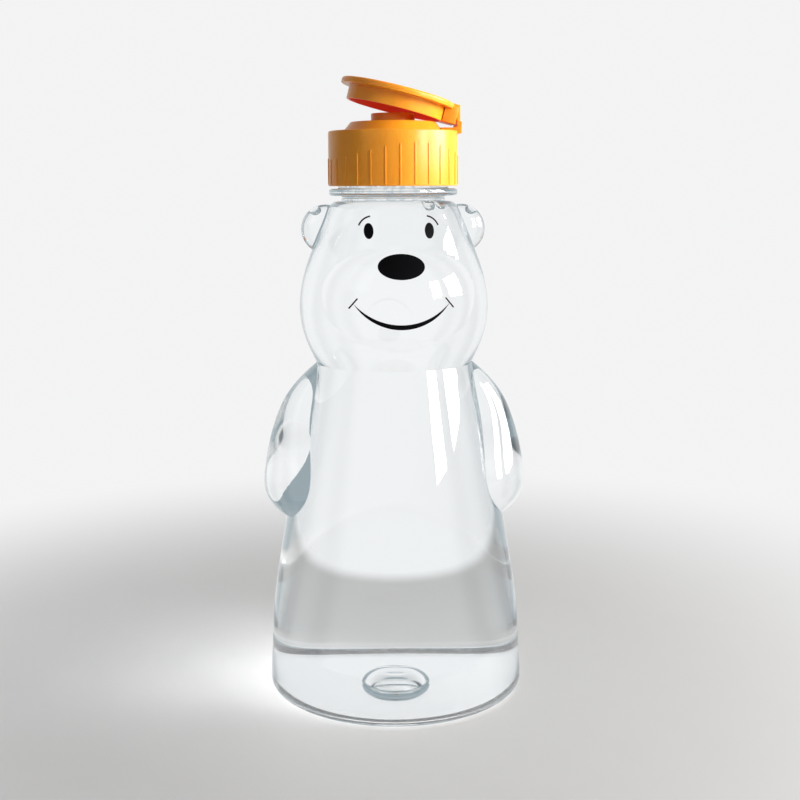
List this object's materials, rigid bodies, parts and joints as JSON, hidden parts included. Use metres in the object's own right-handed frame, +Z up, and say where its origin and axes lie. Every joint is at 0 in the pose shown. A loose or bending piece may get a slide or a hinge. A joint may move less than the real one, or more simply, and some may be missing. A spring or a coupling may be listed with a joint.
{
  "type": "bear-shaped squeeze bottle with flip-top screw cap",
  "caption": "Clear bottle in the form of a seated bear, with a printed face, a ribbed screw cap and a hinged flip lid over a valved spout.",
  "frame": {"origin": "centre of the bottle's standing ring, at the plane it stands on", "axes": "+Z up along the bottle's axis; the bear's face looks along -Y; the lid's hinge is on the +X side"},
  "size_m": [0.0862, 0.0844, 0.1989],
  "materials": {
    "clear_pet": "clear, smooth and glossy",
    "white_foam": "matt white foam",
    "amber_plastic": "golden orange, smooth and slightly translucent",
    "clear_silicone": "cloudy soft silicone",
    "black_ink": "black print, slightly glossy"
  },
  "bodies": {
    "bottle": {"bottle": "clear_pet", "printed_eye_left": "black_ink", "printed_eye_right": "black_ink", "printed_brow_left": "black_ink", "printed_brow_right": "black_ink", "printed_nose": "black_ink", "printed_mouth": "black_ink"},
    "liner": {"closure_liner": "white_foam"},
    "cap": {"cap_shell": "amber_plastic", "silicone_valve": "clear_silicone", "valve_retainer": "amber_plastic"},
    "lid": {"lid": "amber_plastic"}
  },
  "joints": [
    {"name": "cap_lift", "type": "slide", "parent": "bottle", "child": "liner", "axis": [0, 0, 1], "range_m": [0, 0.01692]},
    {"name": "cap_turn", "type": "hinge", "parent": "liner", "child": "cap", "pos_m": [0, 0, 0.1738], "axis": [0, 0, 1], "range_deg": [0, 1440]},
    {"name": "lid_hinge", "type": "hinge", "parent": "cap", "child": "lid", "pos_m": [0.0206, 0, 0.1844], "axis": [0, 1, 0], "range_deg": [-13.8, 130]}
  ],
  "couplings": [
    {"joint": "cap_lift", "follows": "cap_turn", "m_per_rad": 0.00067322}
  ]
}
